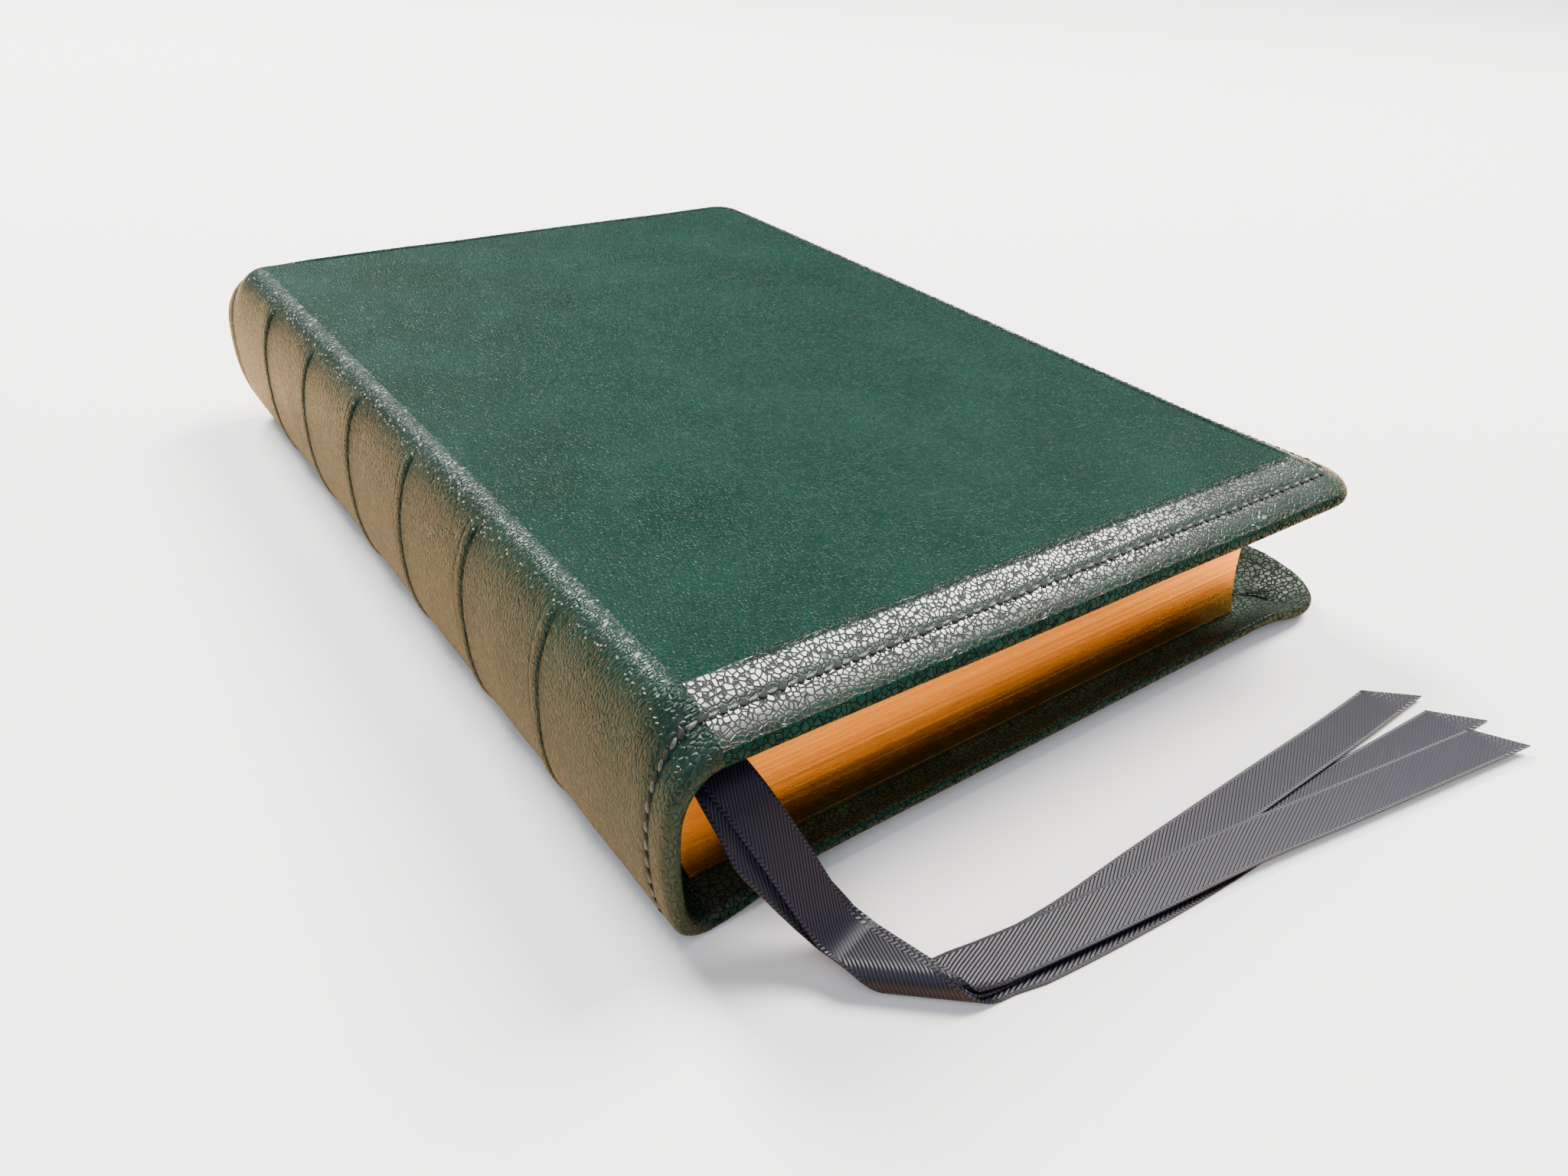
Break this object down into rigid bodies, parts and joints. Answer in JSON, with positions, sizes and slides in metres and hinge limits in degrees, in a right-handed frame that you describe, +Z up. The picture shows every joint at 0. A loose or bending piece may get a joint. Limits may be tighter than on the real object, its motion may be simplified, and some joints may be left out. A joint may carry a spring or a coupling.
{
  "type": "leather prayer book with ribbon markers",
  "caption": "Closed limp leather-bound book with a rounded, banded spine, bent stitched cover edges, gilt leaves and satin ribbon markers; covers and leaves open on the spine.",
  "frame": {"origin": "middle of the base the book rests on, under its back cover, the ribbon markers left out", "axes": "+X from the spine to the fore-edge, +Y from the tail to the head, +Z up through the front cover"},
  "size_m": [0.1116, 0.1833, 0.029],
  "materials": {
    "leather": "satin",
    "leather_lining": "satin",
    "card": "matte",
    "thread": "matte",
    "paper": "matte",
    "gilt_leaves": "satin",
    "cloth": "matte",
    "band_cord": "matte",
    "satin_ribbon": "satin"
  },
  "bodies": {
    "back_cover": {"back_cover_leather": "leather", "back_cover_board": "card", "back_cover_lining": "leather_lining", "back_cover_thread": "thread"},
    "leaves": {"back_flyleaf": "paper", "leaf_section_1": "gilt_leaves", "leaf_section_2": "gilt_leaves", "leaf_section_3": "gilt_leaves", "leaf_section_4": "gilt_leaves", "spine_leather": "leather", "spine_lining": "card", "spine_mull": "cloth", "raised_band_1": "band_cord", "raised_band_2": "band_cord", "raised_band_3": "band_cord", "raised_band_4": "band_cord", "raised_band_5": "band_cord", "raised_band_6": "band_cord", "ribbon_marker_1": "satin_ribbon", "ribbon_marker_2": "satin_ribbon", "ribbon_marker_3": "satin_ribbon"},
    "marked_leaves": {"leaf_section_5": "gilt_leaves"},
    "front_leaves": {"leaf_section_6": "gilt_leaves", "front_flyleaf": "paper"},
    "front_cover": {"front_cover_leather": "leather", "front_cover_board": "card", "front_cover_lining": "leather_lining", "front_cover_thread": "thread"}
  },
  "joints": [
    {"name": "back_hinge", "type": "hinge", "parent": "back_cover", "child": "leaves", "pos_m": [-0.04925, 0, 0], "axis": [0, -1, 0], "range_deg": [0, 12]},
    {"name": "marked_opening", "type": "hinge", "parent": "leaves", "child": "marked_leaves", "pos_m": [-0.04925, 0, 0.029], "axis": [0, -1, 0], "range_deg": [0, 23]},
    {"name": "front_opening", "type": "hinge", "parent": "marked_leaves", "child": "front_leaves", "pos_m": [-0.04925, 0, 0.029], "axis": [0, -1, 0], "range_deg": [0, 20]},
    {"name": "front_cover_hinge", "type": "hinge", "parent": "front_leaves", "child": "front_cover", "pos_m": [-0.04925, 0, 0.029], "axis": [0, -1, 0], "range_deg": [0, 135]}
  ]
}
